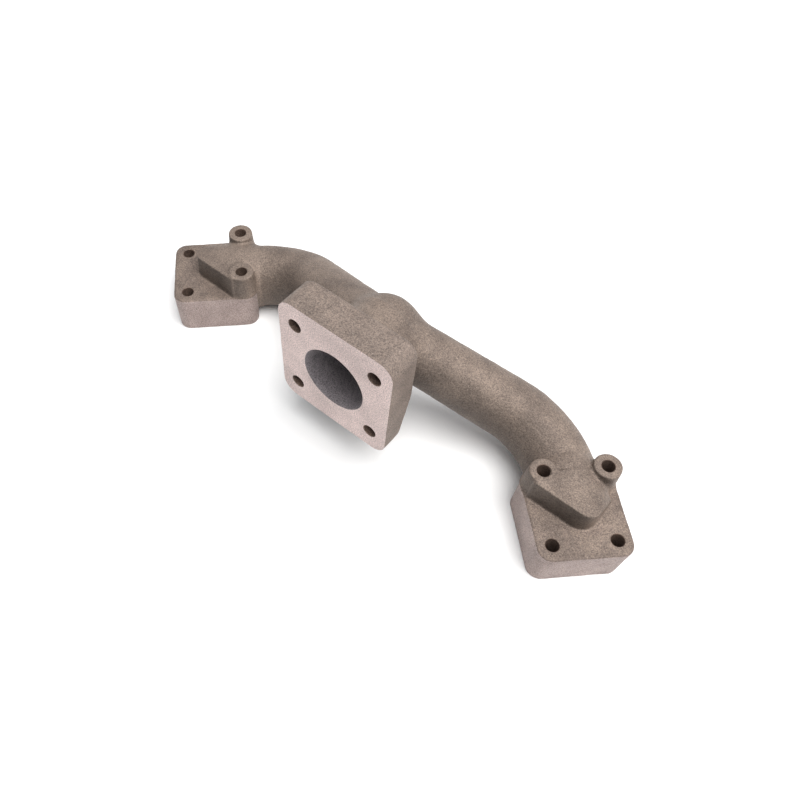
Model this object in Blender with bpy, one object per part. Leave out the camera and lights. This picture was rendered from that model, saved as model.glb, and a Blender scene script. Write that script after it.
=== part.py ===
"""Cast-iron exhaust manifold: two angled port flanges, two runners and one raised outlet flange.

The casting is split where its functions meet: flanges, bolt bosses, elbows, runners, collector
and neck are separate closed bodies with a thin gap between them.  Lengths are in metres, +Z up.
The port faces lie on z = 0 and the outlet faces -Y.  Everything hangs on one empty, which
puts the origin at the middle of the footprint.
"""
import math

import bmesh
import bpy
from mathutils import Vector

# ---- driving dimensions -------------------------------------------------------------------
GAP = 0.0003                 # clearance between touching bodies
OVERRUN = 0.002              # cutters run this far past the faces that they cut
ROUND_SEGMENTS = 40          # sides of the tubes
HOLE_SEGMENTS = 20           # sides of the bolt holes
CORNER_SEGMENTS = 5          # steps round a flange corner
ELBOW_STEPS = 10             # rings along an elbow
DOME_STEPS = 7               # rings of the half ball behind the collector
NOSE_STEPS = 6               # steps round the nose of a hood
SMOOTH_ANGLE = math.radians(35.0)
DEPTH_CENTRE = 0.00684       # middle of the footprint, measured from the line of the port centres

PORT_SPACING = 0.390         # between the two port centres
PORT_TURN = math.radians(45.0)   # the port flanges are turned by this much in plan
FLANGE_THICKNESS = 0.0365
FLANGE_NOSE = 0.039          # from the port centre to the flange's outer edge
FLANGE_HEEL = 0.037          # from the port centre to the edge where the runner enters
FLANGE_HALF_WIDTH = 0.037
FLANGE_CORNER = 0.011

BOLT_HALF_ACROSS = 0.025     # bolt pattern 50 mm across the runner and 52 mm along it
BOLT_HALF_ALONG = 0.026
BOLT_RADIUS = 0.00525        # clearance hole for an M10 bolt
BOSS_HEIGHT = 0.0215
BOSS_RADIUS = 0.011
BOSS_DRAFT = 0.0014          # extra radius at the foot of a boss

HOOD_HEIGHT = 0.0205         # flat hood over the port, above the flange
# the hood's front and rear walls, at 45 degrees, and its nose: (at the foot, at the top)
HOOD_FRONT_WALL = (0.0136, 0.0121)   # from the port centre
HOOD_REAR_WALL = (0.0162, 0.0144)
HOOD_NOSE = (0.0144, 0.0093)
HOOD_FRONT_END = -0.034      # the front wall starts beside the inner boss
HOOD_BACK = 0.0301           # radius of the hood's round back, about the elbow's axis
HOOD_LEVELS = (0.0, 0.35, 0.7, 0.92, 1.0)    # heights of the hood's sections, as shares
HOOD_CREST = 0.003           # the flat top ends this far behind the flange's middle line
HOOD_TUCK = 0.0293           # the elbow's round end narrows to this radius inside the hood
HOOD_START = 0.004           # the elbow is at its widest this far before the boss centres
HOOD_OVERLAP = 0.012         # the elbow's round end stops this far before the port centre

OUTLET_HEIGHT = 0.0935       # outlet axis above the port plane
OUTLET_FACE = 0.0584         # outlet face, in front of the line of the port centres
OUTLET_WIDTH = 0.105
OUTLET_TALL = 0.107
OUTLET_THICKNESS = 0.0294
OUTLET_FOOT_THICKNESS = 0.0175   # thickness at the bottom edge, where the back slopes
OUTLET_SLOPE_TOP = -0.006    # where that slope ends, from the outlet axis
OUTLET_CORNER = 0.013
OUTLET_BORE = 0.0285
STUD_HALF_ACROSS = 0.037
STUD_HALF_TALL = 0.0335
STUD_RADIUS = 0.00575

COLLECTOR_OFFSET = 0.0028    # the runners meet this far behind the line of the port centres
COLLECTOR_RADIUS = 0.030
COLLECTOR_CAVITY = 0.0248
COLLECTOR_STUB = 0.044       # length of runner cast with the collector
STUB_START = 0.004           # the stub's first ring, inside the collector
GAS_WAY_START = 0.010        # the runner's gas way opens inside the collector's cavity
NECK_RADIUS = 0.041          # where the neck meets the outlet flange
NECK_END = 0.016             # the neck ends this far in front of the runners' meeting point
NECK_FLARE = 0.7             # below 1 the neck narrows quickly behind the flange
NECK_INSET = 0.004           # the neck is drawn from inside the flange and cut back to its rear face
NECK_STEPS = 3

ELBOW_HEIGHT = 0.0265        # runner axis at the elbow and through the port flange
ELBOW_SETBACK = 0.0553       # corner of the runner axis, behind the port centres
ELBOW_BEND = 0.060
RUNNER_RADIUS_INNER = 0.0230     # outside radius at the collector
RUNNER_RADIUS_OUTER = 0.0257     # outside radius at the elbow
THROAT_RADIUS = 0.0280           # outside radius where the runner reaches the flange
HOOD_RADIUS = 0.0305             # outside radius under the hood
WALL = 0.0050
THROAT_SQUEEZE = 0.0015          # the gas way narrows by this much before the hood
UNDERSIDE = 0.0008               # the elbow is flattened this far above the port plane
SLAB_REACH = 0.10                # half width of the block that flattens it
SLAB_DEPTH = 0.05
SLAB_SETBACK = 0.02              # the block's middle, behind the flange's heel

PORT_RADIUS = 0.018
PORT_DEPTH = 0.0265
PORT_SETBACK = 0.004         # the port sits this far back from the bolt pattern's centre

# gas tunnel through the flange and hood: (place along the flange, half width, floor, roof)
TUNNEL = (
    (-0.026, 0.0150, 0.0085, 0.0415),
    (-0.012, 0.0160, 0.0085, 0.0495),
    (-0.003, 0.0125, 0.0085, 0.0510),
    (0.0035, 0.0060, 0.0130, 0.0480),
)

BOLT_ROWS = (("high", -BOLT_HALF_ALONG), ("low", BOLT_HALF_ALONG))
BOLT_ENDS = (("inner", -BOLT_HALF_ACROSS), ("rear", BOLT_HALF_ACROSS))
SIDES = (("left", -1.0), ("right", 1.0))

# ---- finishes: colour and roughness of each family of bodies ------------------------------
METALLIC = 0.35
PORT_FLANGE_FINISH = ((0.30, 0.27, 0.24), 0.62)
BOSS_FINISH = ((0.33, 0.29, 0.26), 0.60)
ELBOW_FINISH = ((0.34, 0.30, 0.26), 0.60)
RUNNER_FINISH = ((0.36, 0.32, 0.27), 0.58)
COLLECTOR_FINISH = ((0.35, 0.31, 0.27), 0.60)
NECK_FINISH = ((0.37, 0.33, 0.28), 0.60)
OUTLET_FLANGE_FINISH = ((0.42, 0.37, 0.33), 0.50)


# ---- small helpers ------------------------------------------------------------------------
def clear_scene():
    for item in list(bpy.data.objects):
        bpy.data.objects.remove(item, do_unlink=True)


def cast_material(name, finish):
    colour, roughness = finish
    material = bpy.data.materials.new(name)
    material.use_nodes = True
    shader = material.node_tree.nodes["Principled BSDF"]
    shader.inputs["Base Color"].default_value = (*colour, 1.0)
    shader.inputs["Roughness"].default_value = roughness
    shader.inputs["Metallic"].default_value = METALLIC
    return material


def add_object(name, mesh, root, material=None):
    item = bpy.data.objects.new(name, mesh)
    bpy.context.scene.collection.objects.link(item)
    item.parent = root
    if material is None:
        item.hide_render = True
        item.display_type = "WIRE"
    else:
        mesh.materials.append(material)
    return item


def boolean(item, operation, cutter):
    modifier = item.modifiers.new(operation.lower() + "_" + cutter.name, "BOOLEAN")
    modifier.operation = operation
    modifier.solver = "EXACT"
    modifier.object = cutter


def mesh_from(name, build):
    """Make a mesh from a function that fills a bmesh."""
    mesh = bpy.data.meshes.new(name)
    work = bmesh.new()
    build(work)
    bmesh.ops.recalc_face_normals(work, faces=work.faces)
    work.to_mesh(mesh)
    work.free()
    mesh.shade_smooth()
    mesh.set_sharp_from_angle(angle=SMOOTH_ANGLE)
    return mesh


def loft(name, rings):
    """Join rings of equal length into one closed skin with flat ends."""
    def build(work):
        loops = [[work.verts.new(point) for point in ring] for ring in rings]
        for near, far in zip(loops, loops[1:]):
            for i in range(len(near)):
                j = (i + 1) % len(near)
                work.faces.new((near[i], near[j], far[j], far[i]))
        work.faces.new(loops[0])
        work.faces.new(list(reversed(loops[-1])))
    return mesh_from(name, build)


def ring_round(centre, across, upward, half_width, half_height, segments=ROUND_SEGMENTS):
    turn = 2.0 * math.pi / segments
    return [
        centre + across * half_width * math.cos(i * turn) + upward * half_height * math.sin(i * turn)
        for i in range(segments)
    ]


def ring_level(centre, radius, segments):
    """A horizontal ring; centre carries the height."""
    return ring_round(centre, Vector((1, 0, 0)), Vector((0, 1, 0)), radius, radius, segments)


def ring_facing(y, radius):
    """A ring round the outlet axis, in the plane at y."""
    centre = Vector((0, y, OUTLET_HEIGHT))
    return ring_round(centre, Vector((1, 0, 0)), Vector((0, 0, 1)), radius, radius)


def flange_point(side, along, across, z):
    """A point by its place on a port flange: along points away from the runner."""
    x = PORT_SPACING / 2 + along * math.cos(PORT_TURN) + across * math.sin(PORT_TURN)
    y = across * math.cos(PORT_TURN) - along * math.sin(PORT_TURN)
    return Vector((side * x, y, z))


def rounded_outline(low, high, corner):
    """Corner points of a rectangle with round corners, anticlockwise, as pairs."""
    centres = (
        (high[0] - corner, high[1] - corner, 0),
        (low[0] + corner, high[1] - corner, 1),
        (low[0] + corner, low[1] + corner, 2),
        (high[0] - corner, low[1] + corner, 3),
    )
    points = []
    for u, v, quarter in centres:
        for step in range(CORNER_SEGMENTS + 1):
            angle = (quarter + step / CORNER_SEGMENTS) * math.pi / 2
            points.append((u + corner * math.cos(angle), v + corner * math.sin(angle)))
    return points


# ---- the runner's centre line -------------------------------------------------------------
class RunnerPath:
    """Straight sloping leg, round elbow and level run through the port flange."""

    def __init__(self, side):
        start = Vector((0, COLLECTOR_OFFSET, OUTLET_HEIGHT))
        along = ELBOW_SETBACK / math.sin(PORT_TURN)
        corner = flange_point(side, -along, 0, ELBOW_HEIGHT)
        self.port = flange_point(side, 0, 0, ELBOW_HEIGHT)
        self.leg = (corner - start).normalized()
        self.level = (self.port - corner).normalized()
        angle = self.leg.angle(self.level)
        tangent = ELBOW_BEND * math.tan(angle / 2)
        self.start = start
        self.leg_length = (corner - start).length - tangent
        self.bend_length = ELBOW_BEND * angle
        self.bend_start = corner - self.leg * tangent
        self.bend_end = corner + self.level * tangent
        self.inward = (self.level - self.leg * self.leg.dot(self.level)).normalized()
        self.length = self.leg_length + self.bend_length + (self.port - self.bend_end).length

    def at(self, distance):
        """Centre and direction at a distance along the line."""
        if distance <= self.leg_length:
            return self.start + self.leg * distance, self.leg
        turned = (distance - self.leg_length) / ELBOW_BEND
        if distance <= self.leg_length + self.bend_length:
            pivot = self.bend_start + self.inward * ELBOW_BEND
            centre = pivot + ELBOW_BEND * (self.leg * math.sin(turned) - self.inward * math.cos(turned))
            return centre, (self.leg * math.cos(turned) + self.inward * math.sin(turned)).normalized()
        rest = distance - self.leg_length - self.bend_length
        return self.bend_end + self.level * rest, self.level

    def outside_radius(self, distance):
        throat = self.leg_length + self.bend_length
        hood = self.length - BOLT_HALF_ALONG - HOOD_START
        stations = (
            (0.0, RUNNER_RADIUS_INNER),
            (self.leg_length, RUNNER_RADIUS_OUTER),
            (throat, THROAT_RADIUS),
            (hood, HOOD_RADIUS),
        )
        for (d0, r0), (d1, r1) in zip(stations, stations[1:]):
            if distance <= d1:
                return r0 + (r1 - r0) * (distance - d0) / (d1 - d0)
        return HOOD_RADIUS

    def ring(self, distance, radius):
        centre, direction = self.at(distance)
        across = direction.cross(Vector((0, 0, 1))).normalized()
        return ring_round(centre, across, across.cross(direction), radius, radius)


def outside_rings(path, first, last, steps):
    places = [first + (last - first) * i / steps for i in range(steps + 1)]
    return [path.ring(place, path.outside_radius(place)) for place in places]


# ---- cutters ------------------------------------------------------------------------------
def passage_cutter(name, side, path, root):
    """The whole gas way of one side, from the collector's cavity to the end of the hood."""
    bend_end = path.leg_length + path.bend_length
    places = [GAS_WAY_START, COLLECTOR_STUB, path.leg_length]
    places += [path.leg_length + path.bend_length * i / ELBOW_STEPS for i in range(1, ELBOW_STEPS)]
    rings = [path.ring(place, path.outside_radius(place) - WALL) for place in places]
    rings.append(path.ring(bend_end, RUNNER_RADIUS_OUTER - WALL - THROAT_SQUEEZE))
    direction = path.level
    across = direction.cross(Vector((0, 0, 1))).normalized()
    for along, half_width, floor, roof in TUNNEL:
        centre = flange_point(side, along, 0, (floor + roof) / 2)
        rings.append(ring_round(centre, across, Vector((0, 0, 1)), half_width, (roof - floor) / 2))
    return add_object(name, loft(name, rings), root)


def port_cutter(name, side, root):
    low = flange_point(side, -PORT_SETBACK, 0, -OVERRUN)
    high = flange_point(side, -PORT_SETBACK, 0, PORT_DEPTH)
    rings = [ring_level(point, PORT_RADIUS, ROUND_SEGMENTS) for point in (low, high)]
    return add_object(name, loft(name, rings), root)


def bolt_cutter(name, side, along, across, root):
    low = flange_point(side, along, across, -OVERRUN)
    high = flange_point(side, along, across, FLANGE_THICKNESS + BOSS_HEIGHT + OVERRUN)
    rings = [ring_level(point, BOLT_RADIUS, HOLE_SEGMENTS) for point in (low, high)]
    return add_object(name, loft(name, rings), root)


def outlet_cutter(root):
    """Outlet bore, narrowing into the collector's round cavity."""
    rings = [ring_facing(-OUTLET_FACE - OVERRUN, OUTLET_BORE)]
    rings.append(ring_facing(-OUTLET_FACE + OUTLET_THICKNESS, OUTLET_BORE))
    rings += dome_rings(COLLECTOR_CAVITY)
    return add_object("outlet_way", loft("outlet_way", rings), root)


def dome_rings(radius):
    """Rings of the half ball that closes the collector's back, from its equator to its pole."""
    rings = []
    for step in range(DOME_STEPS):
        angle = step / DOME_STEPS * math.pi / 2
        rings.append(ring_facing(COLLECTOR_OFFSET + radius * math.sin(angle), radius * math.cos(angle)))
    return rings


# ---- bodies -------------------------------------------------------------------------------
def flange_prism(side, grow, bottom, top):
    """Port flange outline between two heights, grown by a clearance."""
    low = (-FLANGE_HEEL - grow, -FLANGE_HALF_WIDTH - grow)
    high = (FLANGE_NOSE + grow, FLANGE_HALF_WIDTH + grow)
    outline = rounded_outline(low, high, FLANGE_CORNER)
    return [[flange_point(side, u, v, z) for u, v in outline] for z in (bottom, top)]


def port_flange(label, side, cutters, root):
    name = label + "_port_flange"
    mesh = loft(name, flange_prism(side, 0.0, 0.0, FLANGE_THICKNESS))
    item = add_object(name, mesh, root, cast_material(name, PORT_FLANGE_FINISH))
    for cutter in cutters:
        boolean(item, "DIFFERENCE", cutter)
    return item


def boss_rings(side, across, grow):
    """Tapered boss on the runner's side of the bolt pattern; grow makes it its own cutter."""
    foot = flange_point(side, -BOLT_HALF_ALONG, across, FLANGE_THICKNESS + GAP - grow)
    above = OVERRUN if grow else 0.0
    top = flange_point(side, -BOLT_HALF_ALONG, across, FLANGE_THICKNESS + BOSS_HEIGHT + above)
    return [
        ring_level(foot, BOSS_RADIUS + BOSS_DRAFT + grow, ROUND_SEGMENTS),
        ring_level(top, BOSS_RADIUS + grow, ROUND_SEGMENTS),
    ]


def boss(name, side, across, hole, root):
    mesh = loft(name, boss_rings(side, across, 0.0))
    item = add_object(name, mesh, root, cast_material(name, BOSS_FINISH))
    boolean(item, "DIFFERENCE", hole)
    return item


def hood_outline(share):
    """Section of the hood: two walls at 45 degrees, a round nose and the round back's chord."""
    front, rear, nose = (low + (high - low) * share
                         for low, high in (HOOD_FRONT_WALL, HOOD_REAR_WALL, HOOD_NOSE))
    lean = math.cos(PORT_TURN)
    rise = FLANGE_THICKNESS + HOOD_HEIGHT * share - ELBOW_HEIGHT
    back = max(math.sqrt(max(HOOD_BACK ** 2 - rise ** 2, 0.0)), HOOD_CREST)
    centre_along = (rear + front - 2.0 * nose) * lean
    centre_across = (rear - front) * lean
    points = [(-BOLT_HALF_ALONG, back), (-BOLT_HALF_ALONG, -BOLT_HALF_ACROSS)]
    points.append((front / lean + HOOD_FRONT_END, HOOD_FRONT_END))
    for step in range(NOSE_STEPS + 1):
        angle = PORT_TURN * (2.0 * step / NOSE_STEPS - 1.0)
        along = centre_along + nose * math.cos(angle)
        points.append((along, min(centre_across + nose * math.sin(angle), back)))
    points.append((min(rear / lean - back, points[-1][0] - OVERRUN), back))
    return points


def hood(name, side, root):
    rings = []
    for share in HOOD_LEVELS:
        z = FLANGE_THICKNESS + GAP * (1.0 - share) + HOOD_HEIGHT * share
        rings.append([flange_point(side, u, v, z) for u, v in hood_outline(share)])
    return add_object(name, loft(name, rings), root)


def underside_slab(name, side, root):
    """Block below the elbow, which leaves it flat just above the port plane."""
    middle = flange_point(side, -FLANGE_HEEL - SLAB_SETBACK, 0, 0)
    quarter_turns = ((-1, -1), (1, -1), (1, 1), (-1, 1))
    rings = []
    for z in (UNDERSIDE - SLAB_DEPTH, UNDERSIDE):
        rings.append([middle + Vector((x * SLAB_REACH, y * SLAB_REACH, z)) for x, y in quarter_turns])
    return add_object(name, loft(name, rings), root)


def port_elbow(label, side, path, cutters, root):
    """Elbow with the hood: the runner's round end joined to the spade over the port."""
    name = label + "_port_elbow"
    first = path.leg_length + GAP / 2
    widest = path.length - BOLT_HALF_ALONG - HOOD_START
    rings = outside_rings(path, first, path.leg_length + path.bend_length, ELBOW_STEPS)
    rings.append(path.ring(widest, HOOD_RADIUS))
    rings.append(path.ring(path.length - HOOD_OVERLAP, HOOD_TUCK))
    item = add_object(name, loft(name, rings), root, cast_material(name, ELBOW_FINISH))
    boolean(item, "UNION", hood(label + "_hood", side, root))
    block = loft(label + "_flange_space", flange_prism(side, GAP, -OVERRUN, FLANGE_THICKNESS + GAP))
    boolean(item, "DIFFERENCE", add_object(label + "_flange_space", block, root))
    for end, across in BOLT_ENDS:
        space = label + "_" + end + "_boss_space"
        mesh = loft(space, boss_rings(side, across, GAP))
        boolean(item, "DIFFERENCE", add_object(space, mesh, root))
    boolean(item, "DIFFERENCE", underside_slab(label + "_underside", side, root))
    for cutter in cutters:
        boolean(item, "DIFFERENCE", cutter)
    return item


def runner(label, path, cutter, root):
    name = label + "_runner"
    rings = outside_rings(path, COLLECTOR_STUB + GAP / 2, path.leg_length - GAP / 2, 2)
    item = add_object(name, loft(name, rings), root, cast_material(name, RUNNER_FINISH))
    boolean(item, "DIFFERENCE", cutter)
    return item


def collector(paths, cutters, root):
    """Round junction body: half ball behind, short neck in front and a stub for each runner."""
    front = COLLECTOR_OFFSET - NECK_END
    rings = [ring_facing(front, neck_radius(front))] + dome_rings(COLLECTOR_RADIUS)
    name = "collector"
    item = add_object(name, loft(name, rings), root, cast_material(name, COLLECTOR_FINISH))
    for label, path in paths.items():
        stub = label + "_stub"
        mesh = loft(stub, outside_rings(path, STUB_START, COLLECTOR_STUB - GAP / 2, 2))
        boolean(item, "UNION", add_object(stub, mesh, root))
    for cutter in cutters:
        boolean(item, "DIFFERENCE", cutter)
    return item


def neck_radius(y):
    """Outside radius of the neck, narrowing from the outlet flange to the collector."""
    back = -OUTLET_FACE + OUTLET_THICKNESS
    share = (y - back) / (COLLECTOR_OFFSET - back)
    return NECK_RADIUS + (COLLECTOR_RADIUS - NECK_RADIUS) * share ** NECK_FLARE


def outlet_rings(grow):
    """Outlet flange as a stack of outlines; its back slopes forward below the axis."""
    low = (-OUTLET_WIDTH / 2 - grow, -OUTLET_TALL / 2 - grow)
    high = (OUTLET_WIDTH / 2 + grow, OUTLET_TALL / 2 + grow)
    outline = rounded_outline(low, high, OUTLET_CORNER)
    face = [Vector((u, -OUTLET_FACE - grow, OUTLET_HEIGHT + v)) for u, v in outline]
    slope = (OUTLET_THICKNESS - OUTLET_FOOT_THICKNESS) / (OUTLET_SLOPE_TOP + OUTLET_TALL / 2)
    back = []
    for u, v in outline:
        thickness = OUTLET_THICKNESS - max(0.0, OUTLET_SLOPE_TOP - v) * slope
        back.append(Vector((u, -OUTLET_FACE + thickness + grow, OUTLET_HEIGHT + v)))
    return face, back


def outlet_mesh(name, grow):
    """Closed skin of the outlet flange, with its back split along the start of the slope."""
    face, back = outlet_rings(grow)

    def build(work):
        front = [work.verts.new(point) for point in face]
        rear = [work.verts.new(point) for point in back]
        for i in range(len(front)):
            j = (i + 1) % len(front)
            work.faces.new((front[i], front[j], rear[j], rear[i]))
        work.faces.new(front)
        work.faces.new(list(reversed(rear)))
        level = Vector((0, 0, OUTLET_HEIGHT + OUTLET_SLOPE_TOP))
        geometry = list(work.verts) + list(work.edges) + list(work.faces)
        bmesh.ops.bisect_plane(work, geom=geometry, plane_co=level, plane_no=(0, 0, 1), dist=1e-6)
    return mesh_from(name, build)


def outlet_flange(cutter, root):
    name = "outlet_flange"
    item = add_object(name, outlet_mesh(name, 0.0), root, cast_material(name, OUTLET_FLANGE_FINISH))
    boolean(item, "DIFFERENCE", cutter)
    for across in (-STUD_HALF_ACROSS, STUD_HALF_ACROSS):
        for tall in (-STUD_HALF_TALL, STUD_HALF_TALL):
            space = "stud_hole_%d_%d" % (across > 0, tall > 0)
            rings = []
            for y in (-OUTLET_FACE - OVERRUN, -OUTLET_FACE + OUTLET_THICKNESS + OVERRUN):
                centre = Vector((across, y, OUTLET_HEIGHT + tall))
                rings.append(ring_round(centre, Vector((1, 0, 0)), Vector((0, 0, 1)),
                                        STUD_RADIUS, STUD_RADIUS, HOLE_SEGMENTS))
            boolean(item, "DIFFERENCE", add_object(space, loft(space, rings), root))
    return item


def outlet_neck(cutter, root):
    name = "outlet_neck"
    back = -OUTLET_FACE + OUTLET_THICKNESS
    front = -OUTLET_FACE + OUTLET_FOOT_THICKNESS - NECK_INSET
    end = COLLECTOR_OFFSET - NECK_END - GAP
    rings = [ring_facing(front, NECK_RADIUS), ring_facing(back, NECK_RADIUS)]
    for step in range(1, NECK_STEPS + 1):
        y = back + (end - back) * step / NECK_STEPS
        rings.append(ring_facing(y, neck_radius(y)))
    item = add_object(name, loft(name, rings), root, cast_material(name, NECK_FINISH))
    space = add_object("outlet_flange_space", outlet_mesh("outlet_flange_space", GAP), root)
    boolean(item, "DIFFERENCE", space)
    boolean(item, "DIFFERENCE", cutter)
    return item


# ---- assembly -----------------------------------------------------------------------------
def build_side(label, side, path, passage, root):
    port = port_cutter(label + "_port_way", side, root)
    bolts = {}
    for row, along in BOLT_ROWS:
        for end, across in BOLT_ENDS:
            name = label + "_" + row + "_" + end + "_bolt_way"
            bolts[row, end] = bolt_cutter(name, side, along, across, root)
    port_flange(label, side, [passage, port, *bolts.values()], root)
    for end, across in BOLT_ENDS:
        boss(label + "_" + end + "_bolt_boss", side, across, bolts["high", end], root)
    port_elbow(label, side, path, [passage], root)
    runner(label, path, passage, root)


def main():
    clear_scene()
    root = bpy.data.objects.new("manifold", None)
    bpy.context.scene.collection.objects.link(root)
    root.location = (0.0, -DEPTH_CENTRE, 0.0)
    paths = {label: RunnerPath(side) for label, side in SIDES}
    passages = {
        label: passage_cutter(label + "_gas_way", side, paths[label], root) for label, side in SIDES
    }
    outlet_way = outlet_cutter(root)
    for label, side in SIDES:
        build_side(label, side, paths[label], passages[label], root)
    collector(paths, [outlet_way, *passages.values()], root)
    outlet_neck(outlet_way, root)
    outlet_flange(outlet_way, root)


main()
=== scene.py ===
"""Visual model of a bare cast-iron exhaust manifold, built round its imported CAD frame.

The casting is described as a field of signed distances, so that every corner where two shapes
meet gets a cast fillet.  One skin is pulled out of that field, roughened like a sand casting,
machined (faces and holes are cut crisply) and then cut into one closed piece per CAD node.
Lengths are in metres.
"""
import math

import bmesh
import bpy
import numpy as np
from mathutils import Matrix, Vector, noise


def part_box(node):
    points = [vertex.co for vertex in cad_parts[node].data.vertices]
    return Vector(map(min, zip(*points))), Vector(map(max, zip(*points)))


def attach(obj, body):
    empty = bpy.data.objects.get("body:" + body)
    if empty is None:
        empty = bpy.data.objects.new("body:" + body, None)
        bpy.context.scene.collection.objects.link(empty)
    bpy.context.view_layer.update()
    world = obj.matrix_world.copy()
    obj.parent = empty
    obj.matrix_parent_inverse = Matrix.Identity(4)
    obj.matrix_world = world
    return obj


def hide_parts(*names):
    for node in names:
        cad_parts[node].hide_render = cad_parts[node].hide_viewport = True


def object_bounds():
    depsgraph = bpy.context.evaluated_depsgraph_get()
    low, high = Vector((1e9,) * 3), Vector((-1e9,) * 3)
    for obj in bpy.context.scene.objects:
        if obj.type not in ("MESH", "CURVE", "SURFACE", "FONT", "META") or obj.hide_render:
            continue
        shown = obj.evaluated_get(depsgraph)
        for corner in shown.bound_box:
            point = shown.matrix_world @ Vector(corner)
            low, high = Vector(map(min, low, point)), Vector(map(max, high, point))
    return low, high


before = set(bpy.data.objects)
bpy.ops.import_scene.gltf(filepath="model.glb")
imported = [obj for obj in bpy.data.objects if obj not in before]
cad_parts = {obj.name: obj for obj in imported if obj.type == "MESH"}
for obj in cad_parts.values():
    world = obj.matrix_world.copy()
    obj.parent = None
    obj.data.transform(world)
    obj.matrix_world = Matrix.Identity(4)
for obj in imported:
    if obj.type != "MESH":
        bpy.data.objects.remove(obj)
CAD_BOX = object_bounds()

# ---- what the frame says ------------------------------------------------------------------
FACE_LOW, FACE_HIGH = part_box("outlet_flange")
BLOCK_LOW, BLOCK_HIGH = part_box("right_port_flange")
BOSS_LOW, BOSS_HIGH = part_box("right_rear_bolt_boss")

OUTLET_FACE = FACE_LOW.y
OUTLET_HEIGHT = (FACE_LOW.z + FACE_HIGH.z) / 2
OUTLET_WIDTH = FACE_HIGH.x - FACE_LOW.x
OUTLET_TALL = FACE_HIGH.z - FACE_LOW.z
OUTLET_BACK = FACE_HIGH.y
MIDDLE = (CAD_BOX[0] + CAD_BOX[1]) / 2
PORT_LINE = OUTLET_FACE + 0.0584     # the port centres stand this far behind the outlet face
PORT_X = 0.195
FLANGE_TOP = BLOCK_HIGH.z
BOSS_TOP = BOSS_HIGH.z

# ---- the casting's dimensions; pairs are (at the foot, at the top) ------------------------
LEAN = math.sqrt(0.5)                # the port flanges are turned 45 degrees in plan
NOSE = 0.039
HEEL = 0.037
HALF_WIDTH = 0.037
FLANGE_CORNER = 0.011
BOLT_ALONG = 0.026
BOLT_ACROSS = 0.025
BOLT_RADIUS = 0.00525
BOSS_RADIUS = 0.011
BOSS_DRAFT = 0.0014
HOOD_TOP = FLANGE_TOP + 0.0205
HOOD_FRONT_WALL = (0.0136, 0.0121)   # from the port centre
HOOD_REAR_WALL = (0.0162, 0.0144)
HOOD_CORNER = (0.0144, 0.0093)
HOOD_EDGE = 0.0008
HOOD_START = 0.004
HOOD_OVERLAP = 0.012
OUTLET_FOOT_THICKNESS = 0.0175
OUTLET_SLOPE_TOP = -0.006
OUTLET_CORNER = 0.013
BORE = 0.0285
STUD_ACROSS = 0.037
STUD_TALL = 0.0335
STUD_RADIUS = 0.00575
MEETING = PORT_LINE + 0.0028         # the runners meet here
DOME_RADIUS = 0.030
CAVITY_RADIUS = 0.0248
NECK_RADIUS = 0.041
NECK_END = 0.016
NECK_FLARE = 0.7
STUB = 0.044
ELBOW_HEIGHT = 0.0265
ELBOW_SETBACK = 0.0553
ELBOW_BEND = 0.060
RUNNER_INNER = 0.0230
RUNNER_OUTER = 0.0257
THROAT = 0.0280
HOOD_RADIUS = 0.0305
WALL = 0.0050
UNDERSIDE = 0.0008
PORT_RADIUS = 0.018
PORT_DEPTH = 0.0265
PORT_SETBACK = 0.004
# balls of the gas tunnel through the flange and hood: (place along the flange, radius, height)
TUNNEL = (
    (-0.026, 0.0155, 0.0250),
    (-0.012, 0.0170, 0.0285),
    (-0.003, 0.0135, 0.0295),
    (0.0035, 0.0075, 0.0300),
)

# ---- the field's resolution and the casting's radii ---------------------------------------
CELL = 0.0008                        # grid step
BLOCK = 10                           # cells along a block that is kept or skipped as one
MARGIN = 0.004                       # grid beyond the box, and stock on the machined faces
EDGE_ROUND = 0.0016
FILLET_HOOD = 0.0022
FILLET_BOSS = 0.0035
FILLET_NECK = 0.0070
FILLET_RUNNER = 0.0080
FILLET_GAS_WAY = 0.0060
FLAT_END_ROUND = 0.0060              # edge of the tube's end inside the hood
BOSS_EDGE = EDGE_ROUND * 0.6
FLANGE_BACK_EDGE = EDGE_ROUND * 1.6
HOOD_ROOT = 0.006                    # the hood and the bosses start below the flange's top
BOSS_ROOT = 0.002
NECK_ROOT = 0.008                    # the neck starts this far behind the outlet face
GAS_WAY_START = 0.010
TUBE_START = 0.004
NECK_SLOPE = 0.9                     # makes the cone's field a true distance, near enough
RELAX_ROUNDS = 2
RELAX_SHARE = 0.35
RELAX_RETURN = 1.04                  # the second pass pushes back by this much more
LUMPS = ((0.00022, 70.0), (0.00013, 240.0), (0.00007, 620.0))    # (height, waves per metre)

# ---- cutting ------------------------------------------------------------------------------
OVERRUN = 0.002                      # a hole's cutter runs this far past both mouths
CHAMFER = 0.0004
BORE_SEGMENTS = 96
SPACE_SEGMENTS = 96
PORT_SEGMENTS = 80
HOLE_SEGMENTS = 64
BOSS_SPACE = 0.0008                  # the bosses' spaces are this much wider
HEEL_SPACE = 0.0006
BEYOND = 0.01                        # a piece's space runs past the casting by this much
SHARP = math.radians(42.0)
ON_PLANE = 1e-5                      # a face this close to a machined plane lies on it
ON_GAS_WAY = 0.0006                  # and in the same way for the gas way and the bore,
ON_HOLE = 0.00045                    # the bolt and stud holes
ON_PORT = 0.0003                     # and the ports

# ---- slots of a piece's mesh: its own skin comes first ------------------------------------
# the last slot is the port flanges' sides: their lighter look is partly their own rough face and
# partly painted bounce light from the floor
SKIMMED, DRILLED, GAS_WAY, BLOCK_SIDE_PAINTED_BOUNCE = 1, 2, 3, 4


# ---- small vector helpers on arrays of points ---------------------------------------------
def length(*parts):
    """Length of the vectors with these components."""
    return np.sqrt(sum(part * part for part in parts))


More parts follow.
